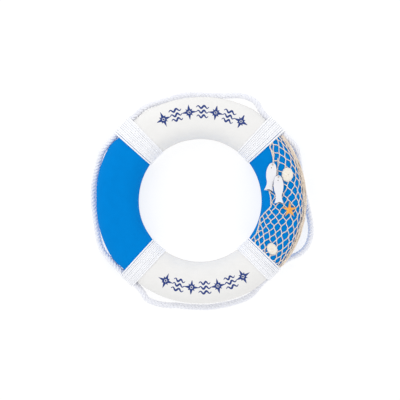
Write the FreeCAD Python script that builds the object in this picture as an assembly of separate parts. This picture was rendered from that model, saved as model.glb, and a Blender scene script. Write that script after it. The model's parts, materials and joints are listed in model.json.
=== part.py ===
"""A decorative ring lifebuoy: a foam ring in four canvas sleeves, four cord wraps that hold a rope round
its rim, and a piece of netting on the right with two hanging wooden fish, two shells and a starfish.

Millimetres. The ring lies on its back. The origin is under the ring's centre, on the surface that it
lies on. +X points right, +Y points to the top of the ring and +Z points out of its front. A bearing is
an angle in degrees round the ring, from +X towards +Y.
"""
import FreeCAD, Part
import math
import os

Vector = FreeCAD.Vector

# ---- driving dimensions -----------------------------------------------------------------------------
# the ring
ring_mean_radius = 136.0
tube_half_width = 34.0
tube_half_depth = 26.0
cover_wall = 1.0
foam_gap = 0.1
sleeve_gap = 0.5

# the cord wraps
cord_diameter = 2.5
cord_gap = 0.1
cord_flat = 0.15

# the rope
rope_diameter = 9.0
rope_gap = 0.1
tuck_past_wrap = 1.0
rope_exit_run = 15.0

# the net
net_gap = 0.2
net_thickness = 1.4
net_from_wrap = 1.0
net_rim_height = 8.0
net_edge_diameter = 4.0

# the fish
fish_length = 46.0
fish_width = 16.5
fish_waist = 10.0
fish_tail_width = 15.5
fish_tail_notch = 2.4
fish_thickness = 3.0
fish_corner_radius = 1.0
fish_edge_radius = 0.5
string_diameter = 1.0
string_hole_radius = 1.3
string_hole_from_head = 2.8
string_gap = 0.3
string_above_net = 0.15
string_knot_diameter = 3.0
fish_above_fish = 0.6

# the shells and the starfish
shell_wall = 1.1
starfish_radius = 13.6
starfish_arm_root = 3.4
starfish_arm_tip = 1.1
starfish_above_net = 0.9
glue_thickness = 0.7
glue_diameter = 7.0

# The string passes under the fish, so the fish clears the net by it and its gaps.
fish_above_net = string_above_net + string_diameter + 2 * string_gap

# ---- tables -----------------------------------------------------------------------------------------
# name: bearing, turns, gap between the turns at the ring's inner edge and at its outer edge, and the
# angle above the ring's middle plane where the rope lies against the rim
wraps = {
    "upper_left": (136.0, 11, 0.20, 0.70, -4.0),
    "upper_right": (45.0, 10, 0.15, 0.85, 0.0),
    "lower_left": (227.5, 10, 0.30, 0.25, -6.0),
    "lower_right": (-45.0, 10, 0.15, 0.25, -34.0),
}

# Each rope runs clockwise from one wrap to the next. A point between is its bearing, how far the
# rope's middle stands outside the ring's edge, and how high its underside is above the surface.
rope_routes = {
    "rope_top": ("upper_left", "upper_right", [
        (120.0, 9.2, 20.8), (114.6, 6.9, 14.2), (109.0, 5.8, 6.4), (103.4, 6.5, 1.2), (97.5, 7.6, 0.0),
        (91.5, 5.8, 0.0), (85.5, 5.0, 0.2), (79.6, 7.2, 2.2), (74.4, 10.8, 7.4), (69.6, 16.2, 14.2),
        (64.8, 18.2, 20.2), (60.0, 15.4, 23.2),
    ]),
    "rope_right": ("upper_right", "lower_right", [
        (29.4, 12.0, 21.4), (24.2, 10.2, 14.6), (18.8, 6.2, 6.8), (13.2, 4.4, 1.4), (7.4, 3.9, 0.0),
        (1.4, 6.0, 0.0), (-4.6, 9.8, 0.0), (-10.4, 16.4, 0.0), (-16.2, 22.8, 0.0), (-22.0, 24.6, 0.6),
        (-27.8, 19.8, 2.8),
    ]),
    "rope_bottom": ("lower_right", "lower_left", [
        (-60.6, 9.0, 4.4), (-66.4, 10.0, 1.2), (-72.4, 9.2, 0.0), (-78.6, 8.4, 0.0), (-85.0, 8.8, 0.0),
        (-91.4, 8.0, 0.2), (-97.2, 8.2, 2.2), (-102.8, 8.6, 7.0), (-108.2, 13.2, 13.2), (-113.4, 15.2, 18.4),
        (-118.6, 13.8, 20.8),
    ]),
    "rope_left": ("lower_left", "upper_left", [
        (211.8, 9.4, 18.8), (206.4, 12.4, 12.2), (200.8, 10.8, 5.4), (195.0, 8.6, 1.0), (189.0, 7.0, 0.0),
        (182.8, 7.6, 0.0), (176.6, 8.8, 0.2), (170.6, 9.2, 2.4), (164.8, 9.0, 7.8), (159.2, 9.8, 14.6),
        (153.6, 11.4, 20.2),
    ]),
}

# The net's inner edge, from the upper right wrap to the lower right one: bearing, and how far it is
# outside the middle of the tube.
net_inner_edge = [
    (48.0, 30.0), (43.0, 27.0), (37.4, 6.5), (31.7, 3.5), (22.0, -8.0), (8.6, -21.0),
    (-4.5, -19.0), (-11.0, -27.0), (-16.3, -31.5), (-30.6, -27.5), (-39.2, -29.5), (-48.0, -29.5),
]

# name: bearing of the string hole and how far it is outside the middle of the tube, which way the head
# points, the place outside the middle of the tube where the net's lean is taken, how much further out
# the fish leans on the one below it, tilt of the head, height of the hole's underside above the net,
# and where the string starts: how far to the side of the hole and how far beyond it
fish_places = {
    "fish_left": (26.4, -4.1, 81.5, -11.841, 0.0, -0.5, fish_above_net, (-2.5, 27.0)),
    "fish_right": (16.7, -3.6, 91.5, -3.6, 13.0, 0.0, fish_thickness + fish_above_fish, (0.2, 31.5)),
}

# name: bearing, how far it is outside the middle of the tube, which way its hinge end points, the
# place where the net leans as the shell does, width, length, height
shell_places = {
    "shell_upper": (16.4, 12.1, 88.0, 12.318, 19.0, 23.5, 7.5),
    "shell_lower": (-34.0, 5.3, 120.0, 5.3, 16.0, 20.0, 6.5),
}
# The same first four values.
starfish_place = (-6.0, 10.5, 90.0, 12.793)

# ---- sizes that follow ------------------------------------------------------------------------------
edge_radius = tube_half_depth
flat_half = tube_half_width - tube_half_depth
inner_radius = ring_mean_radius - tube_half_width
outer_radius = ring_mean_radius + tube_half_width
cord_radius = cord_diameter / 2
rope_radius = rope_diameter / 2
back_height = cord_gap + cord_diameter - cord_flat
mid_height = back_height + tube_half_depth
front_height = mid_height + tube_half_depth
cord_offset = cord_gap + cord_radius
rope_offset = rope_gap + rope_radius
net_offset = net_gap + net_thickness


# ---- general shapes ---------------------------------------------------------------------------------
def polar(bearing, radius, height=0.0):
    angle = math.radians(bearing)
    return Vector(radius * math.cos(angle), radius * math.sin(angle), height)


def upright_face(points_and_arcs):
    """A face in the plane of X and Z. Each entry is an end point, or an arc's middle and end points."""
    edges = []
    start = points_and_arcs[-1][-1]
    for entry in points_and_arcs:
        if len(entry) == 1:
            edges.append(Part.LineSegment(start, entry[0]).toShape())
        else:
            edges.append(Part.Arc(start, entry[0], entry[1]).toShape())
        start = entry[-1]
    return Part.Face(Part.Wire(edges))


def tube_section(offset):
    """The ring's section, grown by an offset: two half rounds with a flat in front and behind."""
    near = ring_mean_radius - flat_half
    far = ring_mean_radius + flat_half
    reach = edge_radius + offset
    return upright_face([
        (Vector(far, 0, mid_height + reach),),
        (Vector(far + reach, 0, mid_height), Vector(far, 0, mid_height - reach)),
        (Vector(near, 0, mid_height - reach),),
        (Vector(near - reach, 0, mid_height), Vector(near, 0, mid_height + reach)),
    ])


def turned(face, bearing, sweep):
    """A face in the plane of X and Z, turned about the ring's axis from a bearing through a sweep."""
    solid = face.revolve(Vector(0, 0, 0), Vector(0, 0, 1), sweep)
    solid.rotate(Vector(0, 0, 0), Vector(0, 0, 1), bearing)
    return solid


def front_surface(radius, offset=0.0):
    """The height of the ring's front at a radius, grown by an offset."""
    past_flat = max(0.0, abs(radius - ring_mean_radius) - flat_half)
    reach = edge_radius + offset
    return mid_height + math.sqrt(max(0.0, reach ** 2 - past_flat ** 2))


def net_lean(outside):
    """How far the net leans out from the ring's front, in degrees, outside the middle of the tube."""
    past_flat = max(0.0, abs(outside) - flat_half)
    return math.copysign(math.degrees(math.asin(past_flat / (edge_radius + net_offset))), outside)


def seat(bearing, outside, heading, leans_as_at, more_lean, pitch, lift):
    """A placement above the net. It leans as the net does at a place, and its Y points along a heading."""
    radius = ring_mean_radius + outside
    lean = net_lean(leans_as_at) + more_lean
    out = polar(bearing, 1.0)
    up = Vector(0, 0, 1) * math.cos(math.radians(lean)) + out * math.sin(math.radians(lean))
    along = polar(heading, 1.0)
    along = (along - up * along.dot(up)).normalize()
    across = along.cross(up)
    raised = FreeCAD.Rotation(across, pitch)
    along = raised.multVec(along)
    up = raised.multVec(up)
    turn = FreeCAD.Rotation(across, along, up, "ZYX")
    return FreeCAD.Placement(polar(bearing, radius, front_surface(radius, net_offset) + lift), turn)


def route_path(points):
    """A wire of straight runs joined by tangent arcs, and the arcs' radii."""
    edges = []
    radii = []
    start = points[0]
    for before, corner, after in zip(points, points[1:], points[2:]):
        into = (corner - before).normalize()
        out = (after - corner).normalize()
        half_turn = into.getAngle(out) / 2
        trim = 0.45 * min((corner - before).Length, (after - corner).Length)
        radius = trim / math.tan(half_turn)
        towards = (out - into).normalize()
        middle = corner + towards * (radius / math.cos(half_turn) - radius)
        arc_start = corner - into * trim
        arc_end = corner + out * trim
        edges.append(Part.LineSegment(start, arc_start).toShape())
        edges.append(Part.Arc(arc_start, middle, arc_end).toShape())
        radii.append(radius)
        start = arc_end
    edges.append(Part.LineSegment(start, points[-1]).toShape())
    return Part.Wire(edges), radii


def tube_along(path, start, direction, radius):
    """A round solid along a wire that starts at a point in a direction."""
    profile = Part.Wire(Part.Circle(start, direction, radius).toShape())
    return path.makePipeShell([profile], True, False)


# ---- the ring ---------------------------------------------------------------------------------------
def foam_core():
    return turned(tube_section(-cover_wall - foam_gap), 0.0, 360.0)


def cover(first_wrap, last_wrap):
    """A canvas sleeve between the middles of two wraps, going up in bearing."""
    trim = math.degrees(sleeve_gap / 2 / ring_mean_radius)
    start = wraps[first_wrap][0] + trim
    sweep = (wraps[last_wrap][0] - wraps[first_wrap][0]) % 360 - 2 * trim
    outside = turned(tube_section(0.0), start, sweep)
    return outside.cut(turned(tube_section(-cover_wall), start, sweep))


# ---- the cord wraps and the rope --------------------------------------------------------------------
def rope_line(rope_angle):
    """How far out and how high the rope's middle is under a wrap, for its angle above the rim."""
    angle = math.radians(rope_angle)
    apart = edge_radius + rope_offset
    return ring_mean_radius + flat_half + apart * math.cos(angle), mid_height + apart * math.sin(angle)


def turn_of_cord(inner_shift, outer_shift, rope_angle):
    """One closed turn of cord round the ring and the straight rope, for a wrap at bearing 0."""
    inner = Vector(math.sqrt(inner_radius ** 2 - inner_shift ** 2), inner_shift, mid_height)
    outer = Vector(math.sqrt(outer_radius ** 2 - outer_shift ** 2), outer_shift, mid_height)
    along = (outer - inner).normalize()
    near = inner + along * edge_radius
    far = outer - along * edge_radius
    reach = edge_radius + cord_offset
    rope_reach = rope_radius + cord_offset
    rope_out, rope_height = rope_line(rope_angle)
    rope = far + along * ((rope_out - far.x) / along.x) + Vector(0, 0, rope_height - mid_height)
    towards_rope = rope - far
    rope_angle = math.degrees(math.asin(towards_rope.z / towards_rope.Length))
    spread = math.degrees(math.acos((reach - rope_reach) / towards_rope.Length))
    high = rope_angle + spread
    low = rope_angle - spread

    def around(centre, radius, angle):
        rise = Vector(0, 0, math.sin(math.radians(angle)))
        return centre + (along * math.cos(math.radians(angle)) + rise) * radius

    start = (around(near, reach, 90) + around(far, reach, 90)) / 2
    edges = [
        Part.LineSegment(start, around(far, reach, 90)).toShape(),
        Part.Arc(around(far, reach, 90), around(far, reach, (90 + high) / 2),
                 around(far, reach, high)).toShape(),
        Part.LineSegment(around(far, reach, high), around(rope, rope_reach, high)).toShape(),
        Part.Arc(around(rope, rope_reach, high), around(rope, rope_reach, rope_angle),
                 around(rope, rope_reach, low)).toShape(),
        Part.LineSegment(around(rope, rope_reach, low), around(far, reach, low)).toShape(),
        Part.Arc(around(far, reach, low), around(far, reach, (low - 90) / 2),
                 around(far, reach, -90)).toShape(),
        Part.LineSegment(around(far, reach, -90), around(near, reach, -90)).toShape(),
        Part.Arc(around(near, reach, -90), around(near, reach, 180), around(near, reach, 90)).toShape(),
        Part.LineSegment(around(near, reach, 90), start).toShape(),
    ]
    return tube_along(Part.Wire(edges), start, along, cord_radius)


def turn_shifts(name):
    """How far each turn of a wrap is to the side of its middle, at the inner and the outer edge."""
    turns, inner_gap, outer_gap = wraps[name][1:4]
    steps = [number - (turns - 1) / 2 for number in range(turns)]
    return [(step * (cord_diameter + inner_gap), step * (cord_diameter + outer_gap)) for step in steps]


def wrap(name):
    """The turns of one wrap, side by side, each flattened a little where the ring rests on it."""
    below = Part.makeBox(4 * outer_radius, 4 * outer_radius, cord_diameter,
                         Vector(-2 * outer_radius, -2 * outer_radius, -cord_diameter))
    loops = []
    for inner_shift, outer_shift in turn_shifts(name):
        loops += turn_of_cord(inner_shift, outer_shift, wraps[name][4]).cut(below).Solids
    group = Part.makeCompound(loops)
    group.rotate(Vector(0, 0, 0), Vector(0, 0, 1), wraps[name][0])
    return group


def tuck_half_length(name):
    """How far the held stretch of rope reaches each side of a wrap's middle."""
    return turn_shifts(name)[-1][1] + cord_radius + tuck_past_wrap


def rope_tuck(name):
    """The straight stretch of rope that a wrap holds against the rim."""
    out, height = rope_line(wraps[name][4])
    half = tuck_half_length(name)
    tuck = Part.makeCylinder(rope_radius, 2 * half, Vector(out, -half, height), Vector(0, 1, 0))
    tuck.rotate(Vector(0, 0, 0), Vector(0, 0, 1), wraps[name][0])
    return tuck


def rope_exit(name, side):
    """Where the rope leaves a wrap on one side, and the end of its straight run out of it."""
    bearing = wraps[name][0]
    out, height = rope_line(wraps[name][4])
    middle = polar(bearing, out, height)
    onwards = polar(bearing + 90 * side, 1.0)
    start = tuck_half_length(name)
    return middle + onwards * start, middle + onwards * (start + rope_exit_run)


def rope_run(first_wrap, last_wrap, route):
    """A free stretch of rope, from where one wrap lets it go to where the next one takes it."""
    points = list(rope_exit(first_wrap, -1))
    points += [polar(bearing, outer_radius + out, rope_radius + up) for bearing, out, up in route]
    points += reversed(rope_exit(last_wrap, 1))
    path, radii = route_path(points)
    solid = tube_along(path, points[0], points[1] - points[0], rope_radius)
    expected = math.pi * rope_radius ** 2 * path.Length
    print("  length %.1f, volume ratio %.4f, bend radii %s" % (
        path.Length, solid.Volume / expected, " ".join("%.0f" % radius for radius in radii)))
    return solid


# ---- the net ----------------------------------------------------------------------------------------
def wrap_side(name, side):
    """The bearing just clear of a wrap, on its side towards higher (+1) or lower (-1) bearings."""
    inner_shift, outer_shift = turn_shifts(name)[-1]
    at_inner = (inner_shift + cord_radius + net_from_wrap) / inner_radius
    at_outer = (outer_shift + cord_radius + net_from_wrap) / outer_radius
    return wraps[name][0] + side * math.degrees(max(at_inner, at_outer))


def net_section():
    """The net's section, from the ring's inner edge over its front to above the rim."""
    near = ring_mean_radius - flat_half
    far = ring_mean_radius + flat_half
    low = edge_radius + net_gap
    high = edge_radius + net_offset
    rim = math.asin(net_rim_height / high)
    half_way = (rim + math.pi / 2) / 2

    def on_rim(reach, angle):
        return Vector(far + reach * math.cos(angle), 0, mid_height + reach * math.sin(angle))

    def on_hole(reach, angle):
        return Vector(near - reach * math.cos(angle), 0, mid_height + reach * math.sin(angle))

    return upright_face([
        (on_rim(high, math.pi / 2),),
        (on_rim(high, half_way), on_rim(high, rim)),
        (on_rim(low, rim),),
        (on_rim(low, half_way), on_rim(low, math.pi / 2)),
        (on_hole(low, math.pi / 2),),
        (on_hole(low, half_way), on_hole(low, rim)),
        (on_hole(high, rim),),
        (on_hole(high, half_way), on_hole(high, math.pi / 2)),
    ])


def net():
    """The netting as one thin skin over the ring's front, with its slanting inner edge."""
    start = wrap_side("lower_right", 1)
    end = wrap_side("upper_right", -1)
    skin = turned(net_section(), start, end - start)
    beyond = 2 * outer_radius
    corners = [polar(bearing, ring_mean_radius + outside) for bearing, outside in net_inner_edge]
    corners += [polar(net_inner_edge[-1][0], beyond), polar(0.0, beyond), polar(net_inner_edge[0][0], beyond)]
    region = Part.Face(Part.makePolygon(corners + corners[:1])).extrude(Vector(0, 0, 2 * front_height))
    return skin.common(region)


def net_edge():
    """The gathered edge of the netting, which lies along the rim."""
    start = wrap_side("lower_right", 1)
    end = wrap_side("upper_right", -1)
    radius = net_edge_diameter / 2
    reach = edge_radius + net_gap + radius
    rise = net_rim_height - radius - net_gap
    out = ring_mean_radius + flat_half + math.sqrt(reach ** 2 - rise ** 2)
    circle = Part.Circle(Vector(out, 0, mid_height + rise), Vector(0, 1, 0), radius)
    return turned(Part.Face(Part.Wire(circle.toShape())), start, end - start)


# ---- the fish ---------------------------------------------------------------------------------------
def fish_seat(name):
    return seat(*fish_places[name][:7])


def fish(name):
    """A flat wooden fish. Its own origin is its string hole, on its underside, with the head up Y."""
    head = string_hole_from_head
    shoulder = Vector(fish_width / 2, head - 0.30 * fish_length, 0)
    cheek = Vector(0.34 * fish_width, head - 0.095 * fish_length, 0)
    flank = Vector(0.455 * fish_width, head - 0.52 * fish_length, 0)
    waist = Vector(fish_waist / 2, head - 0.71 * fish_length, 0)
    flare = Vector((fish_waist + 0.25 * (fish_tail_width - fish_waist)) / 2, head - 0.86 * fish_length, 0)
    tip = Vector(fish_tail_width / 2, head - fish_length, 0)
    top = Vector(0, head, 0)
    notch = Vector(0, head - fish_length + fish_tail_notch, 0)

    def other(point):
        return Vector(-point.x, point.y, 0)

    outline = Part.Wire([
        Part.Arc(top, cheek, shoulder).toShape(),
        Part.Arc(shoulder, flank, waist).toShape(),
        Part.Arc(waist, flare, tip).toShape(),
        Part.LineSegment(tip, notch).toShape(),
        Part.LineSegment(notch, other(tip)).toShape(),
        Part.Arc(other(tip), other(flare), other(waist)).toShape(),
        Part.Arc(other(waist), other(flank), other(shoulder)).toShape(),
        Part.Arc(other(shoulder), other(cheek), top).toShape(),
    ])
    body = Part.Face(outline).extrude(Vector(0, 0, fish_thickness))
    corners = [edge for edge in body.Edges if edge.BoundBox.ZLength > fish_thickness / 2]
    body = body.makeFillet(fish_corner_radius, corners)
    rims = [edge for edge in body.Edges if edge.BoundBox.ZLength < fish_thickness / 2]
    body = body.makeFillet(fish_edge_radius, rims)
    hole = Part.makeCylinder(string_hole_radius, 3 * fish_thickness, Vector(0, 0, -fish_thickness))
    body = body.cut(hole)
    body.Placement = fish_seat(name)
    return body


def fish_string(name):
    """A string from the net, under the head, up through the hole to a knot on the fish's front."""
    sideways, beyond = fish_places[name][7]
    radius = string_diameter / 2
    below = -string_gap - radius
    knot_radius = string_knot_diameter / 2
    knot_height = fish_thickness + string_gap + knot_radius
    seat_here = fish_seat(name)
    from_hole = seat_here.multVec(Vector(sideways, beyond, 0))
    span = math.hypot(from_hole.x, from_hole.y)
    start = Vector(from_hole.x, from_hole.y, front_surface(span, net_offset) + string_above_net + radius)
    corner = Vector(0, 0, below)
    points = [start, seat_here.multVec(corner), seat_here.multVec(Vector(0, 0, knot_height))]
    bend = string_hole_radius
    into = (points[1] - points[0]).normalize()
    out = (points[2] - points[1]).normalize()
    half_turn = into.getAngle(out) / 2
    trim = bend * math.tan(half_turn)
    middle = points[1] + (out - into).normalize() * (bend / math.cos(half_turn) - bend)
    path = Part.Wire([
        Part.LineSegment(points[0], points[1] - into * trim).toShape(),
        Part.Arc(points[1] - into * trim, middle, points[1] + out * trim).toShape(),
        Part.LineSegment(points[1] + out * trim, points[2]).toShape(),
    ])
    print("  length %.1f" % path.Length)
    string = tube_along(path, start, into, radius)
    knot = Part.makeSphere(knot_radius, points[2])
    return string.fuse(knot).removeSplitter()


# ---- the shells, the starfish and their glue --------------------------------------------------------
def dome(width, length, height):
    """Half of a ball that is stretched to a width, a length and a height."""
    ball = Part.makeSphere(1.0)
    stretch = FreeCAD.Matrix()
    stretch.scale(width / 2, length / 2, height)
    upper = Part.makeBox(width, length, height, Vector(-width / 2, -length / 2, 0))
    return ball.transformGeometry(stretch).common(upper)


def shell_seat(name):
    return seat(*shell_places[name][:4], 0.0, 0.0, net_gap)


def shell_cavity(name):
    width, length, height = shell_places[name][4:]
    return dome(width - 2 * shell_wall, length - 2 * shell_wall, height - shell_wall)


def shell(name):
    cup = dome(*shell_places[name][4:]).cut(shell_cavity(name))
    cup.Placement = shell_seat(name)
    return cup


def shell_glue(name):
    """The lump of glue that fills the middle of a shell and holds it to the net."""
    height = shell_places[name][6]
    lump = Part.makeCylinder(glue_diameter / 2, height).common(shell_cavity(name))
    lump.Placement = shell_seat(name)
    return lump


def starfish_seat():
    return seat(*starfish_place, 0.0, 0.0, starfish_above_net)


def starfish():
    """Five tapered arms round a middle, flat underneath."""
    centre = Vector(0, 0, 0)
    body = Part.makeSphere(starfish_arm_root, centre)
    for arm in range(5):
        out = polar(90.0 + 72.0 * arm, 1.0)
        tip = out * (starfish_radius - starfish_arm_tip)
        arm_body = Part.makeCone(starfish_arm_root, starfish_arm_tip, tip.Length, centre, out)
        body = body.fuse(arm_body).fuse(Part.makeSphere(starfish_arm_tip, tip))
    reach = 2 * starfish_radius
    body = body.cut(Part.makeBox(reach, reach, reach, Vector(-reach / 2, -reach / 2, -reach)))
    body.Placement = starfish_seat()
    return body


def starfish_glue():
    """The pad of glue between the starfish and the net."""
    pad = Part.makeCylinder(glue_diameter / 2, glue_thickness, Vector(0, 0, -glue_thickness))
    pad.Placement = starfish_seat()
    return pad


# ---- writing the pieces -----------------------------------------------------------------------------
def write(name, shape):
    shape.exportStep("parts/%s.step" % name)
    print("%s: valid %s, solids %d, volume %.0f" % (name, shape.isValid(), len(shape.Solids), shape.Volume))


os.makedirs("parts", exist_ok=True)
write("foam_core", foam_core())
write("cover_top", cover("upper_right", "upper_left"))
write("cover_left", cover("upper_left", "lower_left"))
write("cover_bottom", cover("lower_left", "lower_right"))
write("cover_right", cover("lower_right", "upper_right"))
for wrap_name in wraps:
    write("wrap_" + wrap_name, wrap(wrap_name))
    write("rope_tuck_" + wrap_name, rope_tuck(wrap_name))
for rope_name, (rope_from, rope_to, rope_points) in rope_routes.items():
    write(rope_name, rope_run(rope_from, rope_to, rope_points))
write("net", net())
write("net_edge", net_edge())
for fish_name in fish_places:
    write(fish_name, fish(fish_name))
    write(fish_name + "_string", fish_string(fish_name))
    pivot = fish_seat(fish_name)
    pivot_axis = pivot.Rotation.multVec(Vector(0, 0, 1))
    print("  pivot %s, axis %s" % (tuple(pivot.Base), tuple(pivot_axis)))
for shell_name in shell_places:
    write(shell_name, shell(shell_name))
    write(shell_name + "_glue", shell_glue(shell_name))
write("starfish", starfish())
write("starfish_glue", starfish_glue())
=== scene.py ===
"""The looks of the decorative ring lifebuoy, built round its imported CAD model.

Metres, in the CAD model's own frame: the ring lies on its back on the floor at z = 0, +Y points to its
top and +X to its right. A bearing is an angle in degrees round the ring, from +X towards +Y. Across is
the distance over the cover from the middle of the ring's front, positive towards the rim.
"""
import json
import math

import bpy
import numpy as np
from mathutils import Matrix, Vector


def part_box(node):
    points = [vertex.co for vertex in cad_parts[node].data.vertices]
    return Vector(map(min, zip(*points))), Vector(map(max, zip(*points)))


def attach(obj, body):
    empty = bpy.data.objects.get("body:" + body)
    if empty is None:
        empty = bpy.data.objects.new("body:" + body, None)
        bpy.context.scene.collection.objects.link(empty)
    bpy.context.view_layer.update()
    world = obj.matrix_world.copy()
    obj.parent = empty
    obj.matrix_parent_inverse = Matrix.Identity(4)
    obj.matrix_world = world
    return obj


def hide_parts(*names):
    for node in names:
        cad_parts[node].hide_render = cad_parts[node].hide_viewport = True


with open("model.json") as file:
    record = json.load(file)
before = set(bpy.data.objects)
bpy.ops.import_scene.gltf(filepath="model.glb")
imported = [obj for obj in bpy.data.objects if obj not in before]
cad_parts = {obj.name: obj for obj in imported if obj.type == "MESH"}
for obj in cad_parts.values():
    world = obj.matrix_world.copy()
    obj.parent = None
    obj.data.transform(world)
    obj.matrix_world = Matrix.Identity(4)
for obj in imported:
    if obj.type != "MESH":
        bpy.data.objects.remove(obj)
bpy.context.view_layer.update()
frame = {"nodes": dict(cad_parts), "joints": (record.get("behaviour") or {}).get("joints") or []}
mm = 0.001
body = "ring"

# ---- sizes from the frame
cover_radii = [vertex.co.xy.length for vertex in frame["nodes"]["cover_left"].data.vertices]
inner_radius = min(cover_radii)
outer_radius = max(cover_radii)
back_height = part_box("cover_left")[0].z
front_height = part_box("cover_left")[1].z
mid_height = (back_height + front_height) / 2
edge_radius = (front_height - back_height) / 2
mean_radius = (inner_radius + outer_radius) / 2
flat_half = (outer_radius - inner_radius) / 2 - edge_radius
half_round = flat_half + edge_radius * math.pi / 2
half_section = 2 * half_round

# ---- sizes
cord_diameter = 2.5 * mm
cord_gap = 0.1 * mm
cord_pitch = 7.0 * mm
cord_groove = 0.05
turn_wander = 0.14 * mm
last_turn_share = 0.95
last_turn_apart = 0.45 * mm
rope_diameter = 9.0 * mm
rope_gap = 0.1 * mm
rope_pitch = 19.0 * mm
rope_groove = 1.1
rope_fullness = 1.1
rope_yarns = 7
rope_yarn_depth = 0.11 * mm
rope_step = 0.7 * mm
tuck_past_wrap = 1.0 * mm
rope_exit_run = 15.0 * mm
sleeve_gap = 0.5 * mm
twine_diameter = 1.4 * mm
twine_pitch = 4.2 * mm
net_rim_height = 8.0 * mm
net_gap = 0.2 * mm
net_thickness = 1.4 * mm
stitch_length = 2.6 * mm
stitch_spacing = 3.7 * mm
stitch_from_seam = 1.9 * mm
stitch_diameter = 0.5 * mm

# name: bearing, turns, gap between the turns at the ring's inner edge and at its outer edge in mm, and
# the angle above the ring's middle plane where the rope lies against the rim
wraps = {
    "upper_left": (136.0, 11, 0.20, 0.70, -4.0),
    "upper_right": (45.0, 10, 0.15, 0.85, 0.0),
    "lower_left": (227.5, 10, 0.30, 0.25, -6.0),
    "lower_right": (-45.0, 10, 0.15, 0.25, -34.0),
}

# name: the wraps that it runs between, clockwise, its length, and its route in mm. A route's point is
# its bearing, how far the rope's middle stands outside the rim, and how high its underside is.
rope_routes = {
    "rope_top": ("upper_left", "upper_right", 258.4, [
        (120.0, 9.2, 20.8), (114.6, 6.9, 14.2), (109.0, 5.8, 6.4), (103.4, 6.5, 1.2), (97.5, 7.6, 0.0),
        (91.5, 5.8, 0.0), (85.5, 5.0, 0.2), (79.6, 7.2, 2.2), (74.4, 10.8, 7.4), (69.6, 16.2, 14.2),
        (64.8, 18.2, 20.2), (60.0, 17.4, 23.2),
    ]),
    "rope_right": ("upper_right", "lower_right", 264.2, [
        (29.4, 11.6, 21.4), (24.2, 8.2, 14.6), (18.8, 4.4, 6.8), (13.2, 2.6, 1.4), (7.4, 2.4, 0.0),
        (1.4, 5.2, 0.0), (-4.6, 9.8, 0.0), (-10.4, 16.4, 0.0), (-16.2, 22.8, 0.0), (-22.0, 24.6, 0.6),
        (-27.8, 19.8, 2.8),
    ]),
    "rope_bottom": ("lower_right", "lower_left", 249.2, [
        (-60.6, 9.0, 4.4), (-66.4, 10.0, 1.2), (-72.4, 9.2, 0.0), (-78.6, 8.4, 0.0), (-85.0, 8.8, 0.0),
        (-91.4, 8.0, 0.2), (-97.2, 8.2, 2.2), (-102.8, 8.6, 7.0), (-108.2, 13.2, 13.2),
        (-113.4, 15.2, 18.4), (-118.6, 16.4, 20.8),
    ]),
    "rope_left": ("lower_left", "upper_left", 258.8, [
        (211.8, 9.4, 18.8), (206.4, 12.4, 12.2), (200.8, 10.8, 5.4), (195.0, 8.6, 1.0), (189.0, 7.0, 0.0),
        (182.8, 7.6, 0.0), (176.6, 8.8, 0.2), (170.6, 9.2, 2.4), (164.8, 9.0, 7.8), (159.2, 9.8, 14.6),
        (153.6, 11.4, 20.2),
    ]),
}

# name: the wraps that it runs between, going up in bearing, and the colour of its canvas
covers = {
    "cover_top": ("upper_right", "upper_left", "canvas_white"),
    "cover_left": ("upper_left", "lower_left", "canvas_blue"),
    "cover_bottom": ("lower_left", "lower_right", "canvas_white"),
    "cover_right": ("lower_right", "upper_right", "canvas_blue"),
}

# ---- camera
camera_height = 2.4
camera_aside = (-0.3 * mm, 0.7 * mm)
view_width = 0.660
camera = bpy.data.objects.new("camera", bpy.data.cameras.new("camera"))
camera.data.sensor_width = 36.0
camera.data.lens = camera.data.sensor_width * (camera_height - mid_height) / view_width
camera.location = (*camera_aside, camera_height)
bpy.context.collection.objects.link(camera)
bpy.context.scene.camera = camera


# ---- lines and meshes
def joined(*parts):
    """Parts such as X, Y and Z, each a number or an array, as the last axis of one array."""
    return np.stack(np.broadcast_arrays(*parts), -1)


def once_round(count):
    """Angles evenly spaced round a circle."""
    return np.linspace(0, 2 * math.pi, count, endpoint=False)


def unit(vector):
    """A vector's direction, 1 long."""
    return vector / np.linalg.norm(vector)


def bell(value, width):
    """1 where a value is 0, and less the further it is from that, with a width."""
    return np.exp(-(value / width) ** 2)


def polar(bearing, radius, height=0.0):
    """Points at bearings in degrees, from numbers or arrays."""
    angle = np.radians(bearing)
    return joined(radius * np.cos(angle), radius * np.sin(angle), height)


def ring_point(bearing, across, lift=0.0):
    """Points on the ring's cover, lifted off it, from numbers or arrays."""
    side = np.sign(across)
    reach = np.abs(across)
    angle = np.clip((reach - flat_half) / edge_radius, 0, math.pi)
    on_back = np.clip(reach - flat_half - math.pi * edge_radius, 0, None)
    level = np.minimum(reach, flat_half) - on_back
    radius = mean_radius + side * (level + (edge_radius + lift) * np.sin(angle))
    return polar(bearing, radius, mid_height + (edge_radius + lift) * np.cos(angle))


def across_at(outside):
    """Across for a place on the ring's front that is this far outside the middle of the tube, in plan."""
    past = np.clip(np.abs(outside) - flat_half, 0, edge_radius)
    level = np.minimum(np.abs(outside), flat_half)
    return np.sign(outside) * (level + edge_radius * np.arcsin(past / edge_radius))


def ring_normal(bearing, across):
    return (ring_point(bearing, across, mm) - ring_point(bearing, across)) / mm


def line_length(path):
    return float(np.linalg.norm(np.diff(path, axis=0), axis=1).sum())


def resampled(path, step, closed=False):
    """The same line, with its points evenly spaced, about a step apart."""
    path = np.asarray(path)
    if closed:
        path = np.vstack([path, path[:1]])
    so_far = np.concatenate([[0.0], np.cumsum(np.linalg.norm(np.diff(path, axis=0), axis=1))])
    places = np.linspace(0.0, so_far[-1], max(2, round(so_far[-1] / step)) + 1)
    even = np.stack([np.interp(places, so_far, path[:, axis]) for axis in range(3)], -1)
    return even[:-1] if closed else even


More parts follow.
